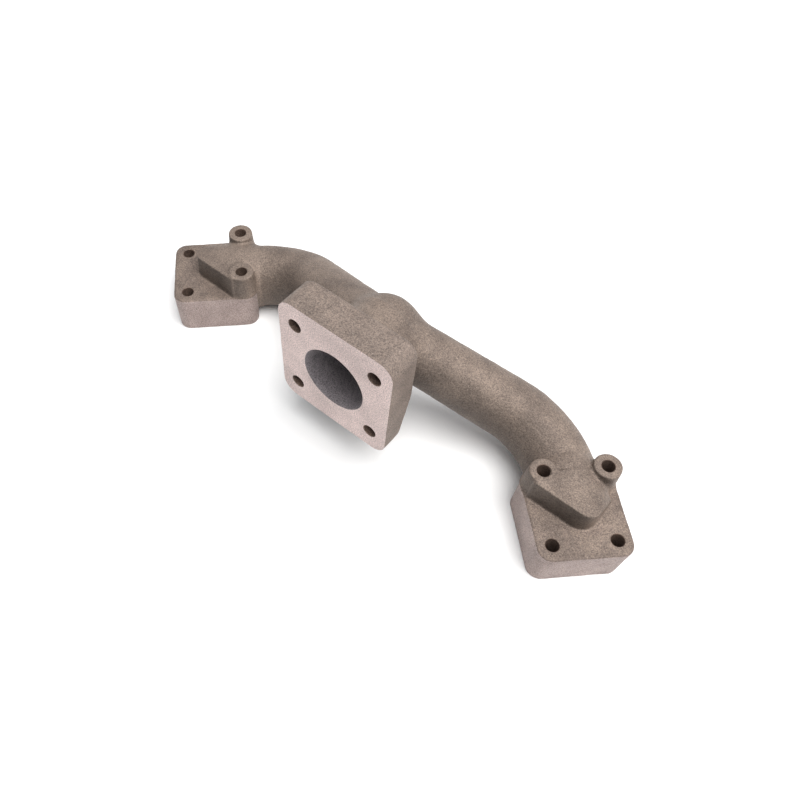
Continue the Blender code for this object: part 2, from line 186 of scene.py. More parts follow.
def smooth_union(a, b, radius):
    """Union with a fillet of about the given radius."""
    h = np.maximum(radius - np.abs(a - b), 0.0) / radius
    return np.minimum(a, b) - h * h * radius * 0.25


def round_corner(a, b, radius):
    """Intersection of two half spaces with a rounded corner."""
    u = a + radius
    v = b + radius
    return length(np.maximum(u, 0.0), np.maximum(v, 0.0)) + np.minimum(np.maximum(u, v), 0.0) - radius


def rounded_rectangle(u, v, low, high, corner):
    centre = ((low[0] + high[0]) / 2, (low[1] + high[1]) / 2)
    half = ((high[0] - low[0]) / 2, (high[1] - low[1]) / 2)
    return round_corner(np.abs(u - centre[0]) - half[0], np.abs(v - centre[1]) - half[1], corner)


# ---- the runner's centre line -------------------------------------------------------------
def flange_point(along, across, z):
    return Vector((PORT_X + (along + across) * LEAN, PORT_LINE + (across - along) * LEAN, z))


class RunnerPath:
    """Straight sloping leg, round elbow and level run through the right port flange."""

    def __init__(self):
        self.start = Vector((0.0, MEETING, OUTLET_HEIGHT))
        corner = flange_point(-ELBOW_SETBACK / LEAN, 0.0, ELBOW_HEIGHT)
        self.port = flange_point(0.0, 0.0, ELBOW_HEIGHT)
        self.leg = (corner - self.start).normalized()
        self.level = (self.port - corner).normalized()
        angle = self.leg.angle(self.level)
        tangent = ELBOW_BEND * math.tan(angle / 2)
        self.leg_length = (corner - self.start).length - tangent
        self.bend_length = ELBOW_BEND * angle
        self.bend_start = corner - self.leg * tangent
        self.bend_end = corner + self.level * tangent
        self.inward = (self.level - self.leg * self.leg.dot(self.level)).normalized()
        self.length = self.leg_length + self.bend_length + (self.port - self.bend_end).length

    def at(self, distance):
        if distance <= self.leg_length:
            return self.start + self.leg * distance
        turned = (distance - self.leg_length) / ELBOW_BEND
        if distance <= self.leg_length + self.bend_length:
            pivot = self.bend_start + self.inward * ELBOW_BEND
            return pivot + ELBOW_BEND * (self.leg * math.sin(turned) - self.inward * math.cos(turned))
        return self.bend_end + self.level * (distance - self.leg_length - self.bend_length)

    def radius(self, distance):
        bend_end = self.leg_length + self.bend_length
        places = (0.0, self.leg_length, bend_end, self.length - BOLT_ALONG - HOOD_START)
        return float(np.interp(distance, places, (RUNNER_INNER, RUNNER_OUTER, THROAT, HOOD_RADIUS)))

    def stations(self, first, last, step):
        count = max(2, int(round((last - first) / step)) + 1)
        return [(self.at(d), self.radius(d)) for d in np.linspace(first, last, count)]


PATH = RunnerPath()


def chain(p, stations):
    """Distance to a chain of balls and the cones between them."""
    best = np.full(len(p), 1e3, np.float32)
    for (a, ra), (b, rb) in zip(stations, stations[1:]):
        a = np.array(a, np.float32)
        line = np.array(b, np.float32) - a
        t = np.clip(((p - a) @ line) / float(line @ line), 0.0, 1.0)
        gap = p - a - t[:, None] * line
        best = np.minimum(best, np.sqrt((gap * gap).sum(1)) - (ra + t * (rb - ra)))
    return best


# ---- the field ----------------------------------------------------------------------------
def flange_coordinates(p):
    x = p[:, 0] - PORT_X
    y = p[:, 1] - PORT_LINE
    return (x - y) * LEAN, (x + y) * LEAN


def tube_field(p):
    """Runner, elbow and the level tube under the hood."""
    bend_end = PATH.leg_length + PATH.bend_length
    widest = PATH.length - BOLT_ALONG - HOOD_START
    stations = PATH.stations(TUBE_START, PATH.leg_length, 0.06)
    stations += PATH.stations(PATH.leg_length, bend_end, 0.004)[1:]
    stations += PATH.stations(bend_end, widest, 0.01)[1:]
    stations += PATH.stations(widest, PATH.length - 0.002, 0.01)[1:]
    along, _ = flange_coordinates(p)
    tube = chain(p, stations)
    flat_end = round_corner(tube, along + HOOD_OVERLAP, FLAT_END_ROUND)
    return round_corner(flat_end, UNDERSIDE - p[:, 2], EDGE_ROUND)


def hood_field(p):
    """Flat top over the port: two walls at 45 degrees to the flange, a round nose, a round back."""
    along, across = flange_coordinates(p)
    z = p[:, 2]
    share = np.clip((z - FLANGE_TOP) / (HOOD_TOP - FLANGE_TOP), 0.0, 1.0)
    front, rear, corner = (low + (high - low) * share
                           for low, high in (HOOD_FRONT_WALL, HOOD_REAR_WALL, HOOD_CORNER))
    spade = round_corner((along + across) * LEAN - rear, (along - across) * LEAN - front, corner)
    back = -(BOLT_ALONG + BOLT_ACROSS) * LEAN
    spade = np.maximum(spade, back - (along + across) * LEAN)
    spade = np.maximum(spade, -BOLT_ALONG - along)
    flat = round_corner(spade, z - HOOD_TOP, HOOD_EDGE)
    round_back = length(np.maximum(across, 0.0), np.maximum(z - ELBOW_HEIGHT, 0.0)) - HOOD_RADIUS
    field = np.maximum(flat, round_back)
    return np.maximum(field, FLANGE_TOP - HOOD_ROOT - z)


def block_field(p):
    along, across = flange_coordinates(p)
    outline = rounded_rectangle(along, across, (-HEEL, -HALF_WIDTH), (NOSE, HALF_WIDTH), FLANGE_CORNER)
    field = round_corner(outline, p[:, 2] - FLANGE_TOP, EDGE_ROUND)
    return round_corner(field, -MARGIN - p[:, 2], EDGE_ROUND)


def boss_field(p):
    along, across = flange_coordinates(p)
    z = p[:, 2]
    radius = BOSS_RADIUS + BOSS_DRAFT * np.clip((BOSS_TOP - z) / (BOSS_TOP - FLANGE_TOP), 0.0, 1.5)
    wall = length(along + BOLT_ALONG, np.abs(across) - BOLT_ACROSS) - radius
    field = round_corner(wall, z - BOSS_TOP, BOSS_EDGE)
    return np.maximum(field, FLANGE_TOP - BOSS_ROOT - z)


def outlet_field(p):
    x, y, z = p[:, 0], p[:, 1], p[:, 2] - OUTLET_HEIGHT
    low = (-OUTLET_WIDTH / 2, -OUTLET_TALL / 2)
    high = (OUTLET_WIDTH / 2, OUTLET_TALL / 2)
    outline = rounded_rectangle(x, z, low, high, OUTLET_CORNER)
    thickness = OUTLET_BACK - OUTLET_FACE
    slope = (thickness - OUTLET_FOOT_THICKNESS) / (OUTLET_SLOPE_TOP + OUTLET_TALL / 2)
    lean = (y - OUTLET_BACK + (OUTLET_SLOPE_TOP - z) * slope) / math.hypot(1.0, slope)
    back = np.maximum(y - OUTLET_BACK, lean)
    field = round_corner(outline, back, FLANGE_BACK_EDGE)
    return round_corner(field, OUTLET_FACE - MARGIN - y, EDGE_ROUND)


def neck_field(p):
    x, y, z = p[:, 0], p[:, 1], p[:, 2] - OUTLET_HEIGHT
    share = np.clip((y - OUTLET_BACK) / (MEETING - OUTLET_BACK), 0.0, 1.0)
    radius = NECK_RADIUS + (DOME_RADIUS - NECK_RADIUS) * share ** NECK_FLARE
    field = (length(x, z) - radius) * NECK_SLOPE
    return np.maximum(field, np.maximum(OUTLET_FACE + NECK_ROOT - y, y - MEETING))


def dome_field(p):
    return length(p[:, 0], p[:, 1] - MEETING, p[:, 2] - OUTLET_HEIGHT) - DOME_RADIUS


def gas_field(p):
    bend_end = PATH.leg_length + PATH.bend_length
    places = [GAS_WAY_START, STUB, PATH.leg_length]
    places += list(np.linspace(PATH.leg_length, bend_end, 12))[1:]
    stations = [(PATH.at(d), PATH.radius(d) - WALL) for d in places]
    stations += [(flange_point(along, 0.0, height), radius) for along, radius, height in TUNNEL]
    ball = length(p[:, 0], p[:, 1] - MEETING, p[:, 2] - OUTLET_HEIGHT) - CAVITY_RADIUS
    return smooth_union(chain(p, stations), ball, FILLET_GAS_WAY)


def casting_field(points):
    """The right half; the left half is its mirror image."""
    p = points.copy()
    p[:, 0] = np.abs(p[:, 0])
    centre = smooth_union(dome_field(p), neck_field(p), FILLET_NECK)
    tube = tube_field(p)
    field = smooth_union(centre, tube, FILLET_RUNNER)
    field = smooth_union(field, outlet_field(p), FILLET_NECK)
    port = smooth_union(block_field(p), hood_field(p), FILLET_HOOD)
    field = smooth_union(field, port, FILLET_HOOD)
    field = smooth_union(field, boss_field(p), FILLET_BOSS)
    return np.maximum(field, -gas_field(p))


# ---- from the field to a skin -------------------------------------------------------------
def sample_half(low, high):
    """Values on the grid of the right half, worked out fully only near the skin."""
    counts = [int(math.ceil((high[k] - low[k]) / CELL)) + 1 for k in range(3)]
    axes = [low[k] + CELL * np.arange(counts[k]) for k in range(3)]
    values = np.empty(counts, np.float32)
    reach = 1.3 * (BLOCK * CELL * 0.87 + 3 * CELL)    # more than from a block's middle to its corner
    starts = [range(0, counts[k], BLOCK) for k in range(3)]
    boxes = [(i, j, k) for i in starts[0] for j in starts[1] for k in starts[2]]
    centres = [[low[n] + (box[n] + BLOCK / 2) * CELL for n in range(3)] for box in boxes]
    rough = casting_field(np.array(centres, np.float32))
    for box, value in zip(boxes, rough):
        span = tuple(slice(box[n], min(box[n] + BLOCK, counts[n])) for n in range(3))
        if abs(value) > reach:
            values[span] = value
            continue
        grid = np.meshgrid(*(axes[n][span[n]] for n in range(3)), indexing="ij")
        points = np.stack([g.ravel() for g in grid], 1).astype(np.float32)
        values[span] = casting_field(points).reshape(grid[0].shape)
    return values


def surface_net(values, low):
    """Surface net: one vertex in each cell that the skin crosses, one quad round each crossed edge."""
    inside = values < 0
    shape = [n - 1 for n in values.shape]
    corners = [(i, j, k) for i in (0, 1) for j in (0, 1) for k in (0, 1)]

    def corner(array, c):
        return array[c[0]:c[0] + shape[0], c[1]:c[1] + shape[1], c[2]:c[2] + shape[2]]

    count = np.zeros(shape, np.uint8)
    for c in corners:
        count += corner(inside, c)
    cells = np.argwhere((count > 0) & (count < 8))
    index = np.full(shape, -1, np.int32)
    index[tuple(cells.T)] = np.arange(len(cells), dtype=np.int32)
    held = {c: values[tuple((cells + c).T)] for c in corners}
    total = np.zeros((len(cells), 3))
    crossings = np.zeros(len(cells))
    for c in corners:
        for axis in range(3):
            if c[axis]:
                continue
            far = tuple(c[n] + (n == axis) for n in range(3))
            a, b = held[c], held[far]
            crossed = (a < 0) != (b < 0)
            t = np.where(crossed, a / np.where(crossed, a - b, 1.0), 0.0)
            point = np.array(c, float)[None, :].repeat(len(cells), 0)
            point[:, axis] = t
            total += point * crossed[:, None]
            crossings += crossed
    vertices = (cells + total / crossings[:, None]) * CELL + np.array(low)
    quads = []
    for axis in range(3):
        u, v = (axis + 1) % 3, (axis + 2) % 3
        near = [slice(0, n) for n in values.shape]
        far = [slice(0, n) for n in values.shape]
        near[axis] = slice(0, values.shape[axis] - 1)
        far[axis] = slice(1, values.shape[axis])
        first = inside[tuple(near)]
        change = first != inside[tuple(far)]
        places = np.argwhere(change)
        keep = (places[:, u] > 0) & (places[:, u] < shape[u])
        keep &= (places[:, v] > 0) & (places[:, v] < shape[v])
        places = places[keep]
        step_u = np.zeros(3, int)
        step_v = np.zeros(3, int)
        step_u[u] = 1
        step_v[v] = 1
        ring = [places - step_u - step_v, places - step_v, places, places - step_u]
        quad = np.stack([index[tuple(r.T)] for r in ring], 1)
        flip = ~first[tuple(places.T)]
        quad[flip] = quad[flip][:, ::-1]
        quads.append(quad)
    return vertices, np.concatenate(quads)


def mesh_from_arrays(name, vertices, quads):
    mesh = bpy.data.meshes.new(name)
    mesh.vertices.add(len(vertices))
    mesh.vertices.foreach_set("co", np.asarray(vertices, np.float32).ravel())
    mesh.loops.add(quads.size)
    mesh.loops.foreach_set("vertex_index", quads.astype(np.int32).ravel())
    mesh.polygons.add(len(quads))
    mesh.polygons.foreach_set("loop_start", np.arange(0, quads.size, quads.shape[1], dtype=np.int32))
    mesh.update(calc_edges=True)
    mesh.validate()
    return mesh


def relax(vertices, quads):
    """Smoothing along the quads' edges, which evens out the grid's steps without shrinking."""
    edges = np.concatenate([quads[:, [k, (k + 1) % 4]] for k in range(4)])
    near = np.bincount(edges[:, 0], minlength=len(vertices))
    near = near + np.bincount(edges[:, 1], minlength=len(vertices))
    for factor in [RELAX_SHARE, -RELAX_SHARE * RELAX_RETURN] * RELAX_ROUNDS:
        pull = np.empty_like(vertices)
        for axis in range(3):
            pull[:, axis] = np.bincount(edges[:, 0], vertices[edges[:, 1], axis], len(vertices))
            pull[:, axis] += np.bincount(edges[:, 1], vertices[edges[:, 0], axis], len(vertices))
        vertices = vertices + factor * (pull / near[:, None] - vertices)
    return vertices


def roughen(mesh):
    """Low lumps and the sand's coarse texture, put into the mesh itself."""
    count = len(mesh.vertices)
    normals = np.empty(count * 3, np.float32)
    mesh.vertex_normals.foreach_get("vector", normals)
    normals = normals.reshape(-1, 3)
    points = np.empty(count * 3, np.float32)
    mesh.vertices.foreach_get("co", points)
    points = points.reshape(-1, 3)
    shift = np.empty(count, np.float32)
    for i in range(count):
        place = Vector(points[i])
        shift[i] = sum(height * noise.noise(place * waves) for height, waves in LUMPS)
    points = points + normals * shift[:, None]
    mesh.vertices.foreach_set("co", points.ravel())
    mesh.update()


# ---- cutters ------------------------------------------------------------------------------
X, Y, Z = Vector((1, 0, 0)), Vector((0, 1, 0)), Vector((0, 0, 1))


def loft(name, rings):
    """Join rings of equal length into one closed skin."""
    mesh = bpy.data.meshes.new(name)
    work = bmesh.new()
    loops = [[work.verts.new(point) for point in ring] for ring in rings]
    for near, far in zip(loops, loops[1:]):
        for i in range(len(near)):
            j = (i + 1) % len(near)
            work.faces.new((near[i], near[j], far[j], far[i]))
    work.faces.new(loops[0])
    work.faces.new(list(reversed(loops[-1])))
    bmesh.ops.recalc_face_normals(work, faces=work.faces)
    bmesh.ops.triangulate(work, faces=[f for f in work.faces if len(f.verts) > 4])
    work.to_mesh(mesh)
    work.free()
    return mesh


def disc(centre, u, v, radius, segments):
    turn = 2.0 * math.pi / segments
    return [
        centre + u * radius * math.cos(i * turn) + v * radius * math.sin(i * turn)
        for i in range(segments)
    ]


def hole(name, start, end, radius, chamfer=0.0, segments=HOLE_SEGMENTS):
    """A drilled hole from start to end; chamfer opens both mouths a little."""
    axis = (end - start).normalized()
    u = axis.orthogonal().normalized()
    v = axis.cross(u)
    places = [(start - axis * OVERRUN, radius), (end + axis * OVERRUN, radius)]
    if chamfer:
        mouth = radius + chamfer + OVERRUN
        places = [
            (start - axis * OVERRUN, mouth), (start + axis * chamfer, radius),
            (end - axis * chamfer, radius), (end + axis * OVERRUN, mouth),
        ]
    return loft(name, [disc(centre, u, v, size, segments) for centre, size in places])


def box_mesh(name, low, high):
    corners = [(low[0], low[1]), (high[0], low[1]), (high[0], high[1]), (low[0], high[1])]
    return loft(name, [[Vector((x, y, z)) for x, y in corners] for z in (low[2], high[2])])


def mirrored(mesh, name):
    copy = mesh.copy()
    copy.name = name
    for vertex in copy.vertices:
        vertex.co.x = -vertex.co.x
    copy.flip_normals()
    return copy


def join_meshes(name, meshes):
    joined = bpy.data.meshes.new(name)
    work = bmesh.new()
    for mesh in meshes:
        work.from_mesh(mesh)
    work.to_mesh(joined)
    work.free()
    return joined


def boolean(mesh, operation, cutter, name):
    """One manifold Boolean, applied at once; returns a new mesh."""
    base = bpy.data.objects.new(name + "_base", mesh)
    tool = bpy.data.objects.new(name + "_tool", cutter)
    for item in (base, tool):
        bpy.context.scene.collection.objects.link(item)
    modifier = base.modifiers.new("cut", "BOOLEAN")
    modifier.operation = operation
    modifier.solver = "MANIFOLD"
    modifier.object = tool
    depsgraph = bpy.context.evaluated_depsgraph_get()
    result = bpy.data.meshes.new_from_object(base.evaluated_get(depsgraph))
    result.name = name
    for item in (base, tool):
        bpy.data.objects.remove(item, do_unlink=True)
    return result


def machined_holes():
    """Bore, ports, bolt and stud holes."""
    through = Y * (OUTLET_BACK - OUTLET_FACE)
    start = Vector((0, OUTLET_FACE, OUTLET_HEIGHT))
    meshes = [hole("bore", start, start + through, BORE, segments=BORE_SEGMENTS)]
    for x in (-STUD_ACROSS, STUD_ACROSS):
        for z in (-STUD_TALL, STUD_TALL):
            start = Vector((x, OUTLET_FACE, OUTLET_HEIGHT + z))
            meshes.append(hole("stud", start, start + through, STUD_RADIUS, CHAMFER))
    for along, top in ((-BOLT_ALONG, BOSS_TOP), (BOLT_ALONG, FLANGE_TOP)):
        for across in (-BOLT_ACROSS, BOLT_ACROSS):
            low, high = flange_point(along, across, 0.0), flange_point(along, across, top)
            right = hole("bolt", low, high, BOLT_RADIUS, CHAMFER)
            meshes += [right, mirrored(right, "bolt_left")]
    low, high = flange_point(-PORT_SETBACK, 0, 0), flange_point(-PORT_SETBACK, 0, PORT_DEPTH)
    right = hole("port", low, high, PORT_RADIUS, segments=PORT_SEGMENTS)
    return meshes + [right, mirrored(right, "port_left")]


def machined_faces():
    """The stock below the port faces and in front of the outlet face."""
    return (
        box_mesh("port_plane", (-0.30, -0.12, -0.03), (0.30, 0.12, 0.0)),
        box_mesh("outlet_plane", (-0.09, OUTLET_FACE - 0.03, 0.02), (0.09, OUTLET_FACE, 0.17)),
    )


# ---- the space of each piece --------------------------------------------------------------
def bar(name, near, far, direction, half):
    """A square bar between two planes at right angles to a direction."""
    u = direction.cross(Z).normalized()
    v = direction.cross(u)
    corners = ((-half, -half), (half, -half), (half, half), (-half, half))
    return loft(name, [[centre + u * a + v * b for a, b in corners] for centre in (near, far)])


def piece_spaces():
    """Middle and right-hand spaces, in the order in which they take what is left of the casting."""
    spaces = {}
    thickness = OUTLET_BACK - OUTLET_FACE
    slope_z = OUTLET_HEIGHT + OUTLET_SLOPE_TOP
    foot_z = FACE_LOW.z - BEYOND
    slope = (thickness - OUTLET_FOOT_THICKNESS) / (slope_z - FACE_LOW.z)
    profile = (
        (OUTLET_FACE - BEYOND, foot_z),
        (OUTLET_BACK - slope * (slope_z - foot_z), foot_z),
        (OUTLET_BACK, slope_z),
        (OUTLET_BACK, FACE_HIGH.z + BEYOND),
        (OUTLET_FACE - BEYOND, FACE_HIGH.z + BEYOND),
    )
    ends = [[Vector((x, y, z)) for y, z in profile] for x in (-0.07, 0.07)]
    spaces["outlet_flange"] = loft("flange_space", ends)
    low, high = (-0.06, OUTLET_FACE, 0.03), (0.06, MEETING - NECK_END, 0.17)
    spaces["outlet_neck"] = box_mesh("neck_space", low, high)
    for end, across in (("inner", -BOLT_ACROSS), ("rear", BOLT_ACROSS)):
        centre = flange_point(-BOLT_ALONG, across, FLANGE_TOP)
        foot_radius = BOSS_RADIUS + BOSS_DRAFT + BOSS_SPACE
        rings = [disc(centre, X, Y, foot_radius, SPACE_SEGMENTS)]
        rings.append(disc(centre + Z * 0.04, X, Y, BOSS_RADIUS + BOSS_SPACE, SPACE_SEGMENTS))
        spaces["right_" + end + "_bolt_boss"] = loft("boss_space", rings)
    low = (-HEEL - HEEL_SPACE, -HALF_WIDTH - BEYOND)
    high = (NOSE + BEYOND, HALF_WIDTH + BEYOND)
    corners = ((low[0], low[1]), (high[0], low[1]), (high[0], high[1]), (low[0], high[1]))
    rings = [[flange_point(u, v, z) for u, v in corners] for z in (-0.02, FLANGE_TOP)]
    spaces["right_port_flange"] = loft("block_space", rings)
    joint = PATH.at(PATH.leg_length)
    spaces["right_port_elbow"] = bar("elbow_space", joint, joint + PATH.leg * 0.25, PATH.leg, 0.2)
    stub = PATH.at(STUB)
    spaces["right_runner"] = bar("runner_space", stub, joint + PATH.leg * 0.05, PATH.leg, 0.06)
    return spaces


# ---- materials ----------------------------------------------------------------------------
GRAIN_HEIGHT = 0.0006
COARSE_SCALE = 0.35                  # the coarse grain's scale against the fine grain's
COARSE_GRAIN = 1.2                   # and its strength


def iron(name, light, dark, speck, roughness, metallic, grain, strength, painted_front_shade):
    """Cast-iron skin: blotches, speckle and a sand grain, all in the object's own space.

    The last argument is how much painted shade darkens the colour on the sides that face the front
    (-Y), where less light falls.
    """
    material = bpy.data.materials.new(name)
    material.use_nodes = True
    nodes, links = material.node_tree.nodes, material.node_tree.links
    shader = nodes["Principled BSDF"]
    shader.inputs["Metallic"].default_value = metallic
    place = nodes.new("ShaderNodeTexCoord").outputs["Object"]

    def noise_node(scale, detail, rough):
        node = nodes.new("ShaderNodeTexNoise")
        node.inputs["Scale"].default_value = scale
        node.inputs["Detail"].default_value = detail
        node.inputs["Roughness"].default_value = rough
        links.new(place, node.inputs["Vector"])
        return node.outputs["Fac"]

    def ramp(source, *stops):
        node = nodes.new("ShaderNodeValToRGB")
        links.new(source, node.inputs["Fac"])
        node.color_ramp.elements[0].position = stops[0][0]
        node.color_ramp.elements[0].color = (*stops[0][1], 1)
        node.color_ramp.elements[1].position = stops[-1][0]
        node.color_ramp.elements[1].color = (*stops[-1][1], 1)
        for at, colour in stops[1:-1]:
            node.color_ramp.elements.new(at).color = (*colour, 1)
        return node.outputs["Color"]

    def mix(kind, factor, a, b):
        node = nodes.new("ShaderNodeMix")
        node.data_type = "RGBA"
        node.blend_type = kind
        if factor is None:
            node.inputs["Factor"].default_value = 1.0
        else:
            links.new(factor, node.inputs["Factor"])
        links.new(a, node.inputs["A"])
        links.new(b, node.inputs["B"])
        return node.outputs["Result"]

    def span(source, low, high, ends):
        """Map the source to run from low to high; ends says which end of the node is set."""
        node = nodes.new("ShaderNodeMapRange")
        links.new(source, node.inputs["Value"])
        node.inputs[ends + " Min"].default_value = low
        node.inputs[ends + " Max"].default_value = high
        return node.outputs["Result"]

    white = (1.0, 1.0, 1.0)
    blotch = ramp(noise_node(38.0, 4.0, 0.6), (0.34, dark), (0.66, light))
    pits, peaks = (0.50, 0.49, 0.50), (1.42, 1.40, 1.37)
    grey = ramp(noise_node(950.0, 3.0, 0.7), (0.34, pits), (0.50, white), (0.66, peaks))
    colour = mix("MULTIPLY", None, blotch, grey)
    dots = ramp(noise_node(1500.0, 2.0, 0.55), (0.62, (0.0, 0.0, 0.0)), (0.72, white))
    fleck = nodes.new("ShaderNodeRGB")
    fleck.outputs[0].default_value = (*speck, 1)
    colour = mix("MIX", dots, colour, fleck.outputs[0])
    # painted shade: faces whose object-space normal points towards -Y are darkened, standing in for
    # the shade on the sides that face the front
    if painted_front_shade:
        facing = nodes.new("ShaderNodeSeparateXYZ")
        links.new(nodes.new("ShaderNodeTexCoord").outputs["Normal"], facing.inputs[0])
        away_from_front = span(facing.outputs["Y"], -1.0, -0.25, "From")
        scale = ramp(away_from_front, (0.0, (1.0 - painted_front_shade,) * 3), (1.0, white))
        colour = mix("MULTIPLY", None, colour, scale)
    links.new(colour, shader.inputs["Base Color"])
    uneven = span(noise_node(420.0, 3.0, 0.6), roughness - 0.10, roughness + 0.12, "To")
    links.new(uneven, shader.inputs["Roughness"])

    coarse = nodes.new("ShaderNodeMath")
    coarse.operation = "MULTIPLY"
    coarse.inputs[1].default_value = COARSE_GRAIN
    links.new(noise_node(grain * COARSE_SCALE, 2.0, 0.5), coarse.inputs[0])
    sand = nodes.new("ShaderNodeMath")
    sand.operation = "ADD"
    links.new(noise_node(grain, 3.0, 0.65), sand.inputs[0])
    links.new(coarse.outputs[0], sand.inputs[1])
    bump = nodes.new("ShaderNodeBump")
    bump.inputs["Strength"].default_value = strength
    bump.inputs["Distance"].default_value = GRAIN_HEIGHT
    links.new(sand.outputs[0], bump.inputs["Height"])
    links.new(bump.outputs["Normal"], shader.inputs["Normal"])
    return material


# name: light tone, dark tone, specks, (roughness, metallic, grain's scale, bump, painted shade on the
# front-facing sides)
LOOKS = {
    "cast_iron": (
        (0.272, 0.211, 0.172), (0.172, 0.132, 0.109), (0.44, 0.36, 0.30),
        (0.58, 0.35, 900.0, 0.85, 0.54),
    ),
    "port_flange_iron": (
        (0.250, 0.193, 0.160), (0.158, 0.121, 0.101), (0.42, 0.34, 0.29),
        (0.60, 0.35, 900.0, 0.85, 0.0),
    ),
    "outlet_flange_iron": (
        (0.275, 0.215, 0.180), (0.182, 0.142, 0.120), (0.44, 0.37, 0.32),
        (0.58, 0.35, 900.0, 0.80, 0.0),
    ),
    # lighter port flange sides: partly a rough face, partly painted bounce light from the white floor
    "block_side_painted_bounce": (
        (0.40, 0.315, 0.290), (0.27, 0.210, 0.192), (0.52, 0.44, 0.41),
        (0.55, 0.25, 900.0, 0.70, 0.0),
    ),
    "skimmed": (
        (0.66, 0.530, 0.500), (0.50, 0.400, 0.378), (0.72, 0.62, 0.60),
        (0.52, 0.20, 1300.0, 0.35, 0.0),
    ),
    "gas_way": (
        (0.31, 0.28, 0.29), (0.19, 0.172, 0.182), (0.40, 0.37, 0.37),
        (0.80, 0.10, 700.0, 0.90, 0.0),
    ),
    "drilled": (
        (0.24, 0.170, 0.135), (0.13, 0.092, 0.075), (0.34, 0.26, 0.21),
        (0.55, 0.40, 1400.0, 0.30, 0.0),
    ),
}


def make_materials():
    return {
        name: iron(name, light, dark, speck, *surface)
        for name, (light, dark, speck, surface) in LOOKS.items()
    }


def face_vectors(mesh, kind):
    values = np.empty(len(mesh.polygons) * 3, np.float32)
    mesh.polygons.foreach_get(kind, values)
    return values.reshape(-1, 3)


def own_slot(node):
    if node == "outlet_flange":
        return "outlet_flange_iron"
    return "port_flange_iron" if "port_flange" in node else "cast_iron"


def give_faces(mesh, node, materials):
    """Give each face its own skin, or a machined, drilled or gas-swept look by where it lies."""
    slot = own_slot(node)
    for name in (slot, "skimmed", "drilled", "gas_way", "block_side_painted_bounce"):
        mesh.materials.append(materials[name])
    normal = face_vectors(mesh, "normal")
    p = face_vectors(mesh, "center")
    p[:, 0] = np.abs(p[:, 0])
    x, y, z = p[:, 0], p[:, 1], p[:, 2]
    along, across = flange_coordinates(p)
    inside_outlet = (y > OUTLET_FACE + ON_PLANE) & (y < OUTLET_BACK)
    index = np.zeros(len(p), np.int32)
    index[(np.abs(y - OUTLET_FACE) < ON_PLANE) & (normal[:, 1] < -0.9)] = SKIMMED
    index[(np.abs(z) < ON_PLANE) & (normal[:, 2] < -0.9)] = SKIMMED
    if "port_flange" in node:
        # the port flanges' sides get the lighter look: partly their own rough face, partly painted
        # bounce light from the floor
        index[(np.abs(normal[:, 2]) < 0.6) & (z < FLANGE_TOP - 0.001)] = BLOCK_SIDE_PAINTED_BOUNCE
    in_bore = length(x, z - OUTLET_HEIGHT) < BORE + ON_GAS_WAY
    index[in_bore & (y > OUTLET_FACE + ON_PLANE) & (y < OUTLET_BACK + 0.004)] = GAS_WAY
    index[gas_field(p) < ON_GAS_WAY] = GAS_WAY
    for row in (-BOLT_ALONG, BOLT_ALONG):
        away = length(along - row, np.abs(across) - BOLT_ACROSS)
        in_hole = away < BOLT_RADIUS + ON_HOLE
        index[in_hole & (z < BOSS_TOP + 0.001) & (z > ON_PLANE)] = DRILLED
    away = length(x - STUD_ACROSS, np.abs(z - OUTLET_HEIGHT) - STUD_TALL)
    index[(away < STUD_RADIUS + ON_HOLE) & inside_outlet] = DRILLED
    in_port = length(along + PORT_SETBACK, across) < PORT_RADIUS + ON_PORT
    index[in_port & (z < PORT_DEPTH) & (z > ON_PLANE)] = GAS_WAY
    mesh.polygons.foreach_set("material_index", index)
    return slot


# ---- building -----------------------------------------------------------------------------
def build_casting():
    """The rough casting in one skin, with stock left on the machined faces."""
    low = (0.0, CAD_BOX[0].y - MARGIN - MARGIN, -2 * MARGIN)
    high = (CAD_BOX[1].x + MARGIN, CAD_BOX[1].y + MARGIN, CAD_BOX[1].z + MARGIN)
    half = sample_half(low, high)
    whole = np.concatenate([half[:0:-1], half])
    start = (low[0] - CELL * (half.shape[0] - 1), low[1], low[2])
    vertices, quads = surface_net(whole, start)
    mesh = mesh_from_arrays("casting", relax(vertices, quads), quads)
    roughen(mesh)
    return mesh


def build_pieces(casting, materials):
    """Machine the casting, cut it into one piece per node and hand the pieces to the frame."""
    rest = boolean(casting, "DIFFERENCE", join_meshes("holes", machined_holes()), "drilled_casting")
    for face in machined_faces():
        rest = boolean(rest, "DIFFERENCE", face, "faced_casting")
    pieces = {}
    for name, mesh in piece_spaces().items():
        targets = [(name, mesh)]
        if name.startswith("right_"):
            targets.append((name.replace("right_", "left_", 1), mirrored(mesh, "left_space")))
        for node, space in targets:
            pieces[node] = boolean(rest, "INTERSECT", space, node + "_skin")
            rest = boolean(rest, "DIFFERENCE", space, "rest_after_" + node)
    pieces["collector"] = rest
    for node, mesh in pieces.items():
        item = bpy.data.objects.new("cast_" + node, mesh)
        bpy.context.scene.collection.objects.link(item)
        mesh.materials.clear()
        slot = give_faces(mesh, node, materials)
        mesh.shade_smooth()
        mesh.set_sharp_from_angle(angle=SHARP)
        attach(item, "root")
        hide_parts(node)


# ---- stage --------------------------------------------------------------------------------
FLOOR_REACH = 25.0
FLOOR_Z = -0.0004                    # just below the port faces
SKY_BRIGHTEST = (-0.1, 0.6, 0.8)
SKY_LEVELS = (0.24, 0.62)
KEY_DIRECTION = (0.33, -0.03, 0.94)
KEY_DISTANCE = 4.0
KEY_SIZE = 3.5
KEY_POWER = 206.0
CAMERA_PLACE = (0.19565, -0.29908, 0.43339)      # from the middle of the box
CAMERA_AZIMUTH = math.radians(40.37)
CAMERA_ELEVATION = math.radians(60.53)
CAMERA_LENS = 30.48
CAMERA_SHIFT = (0.0875, 0.0786)


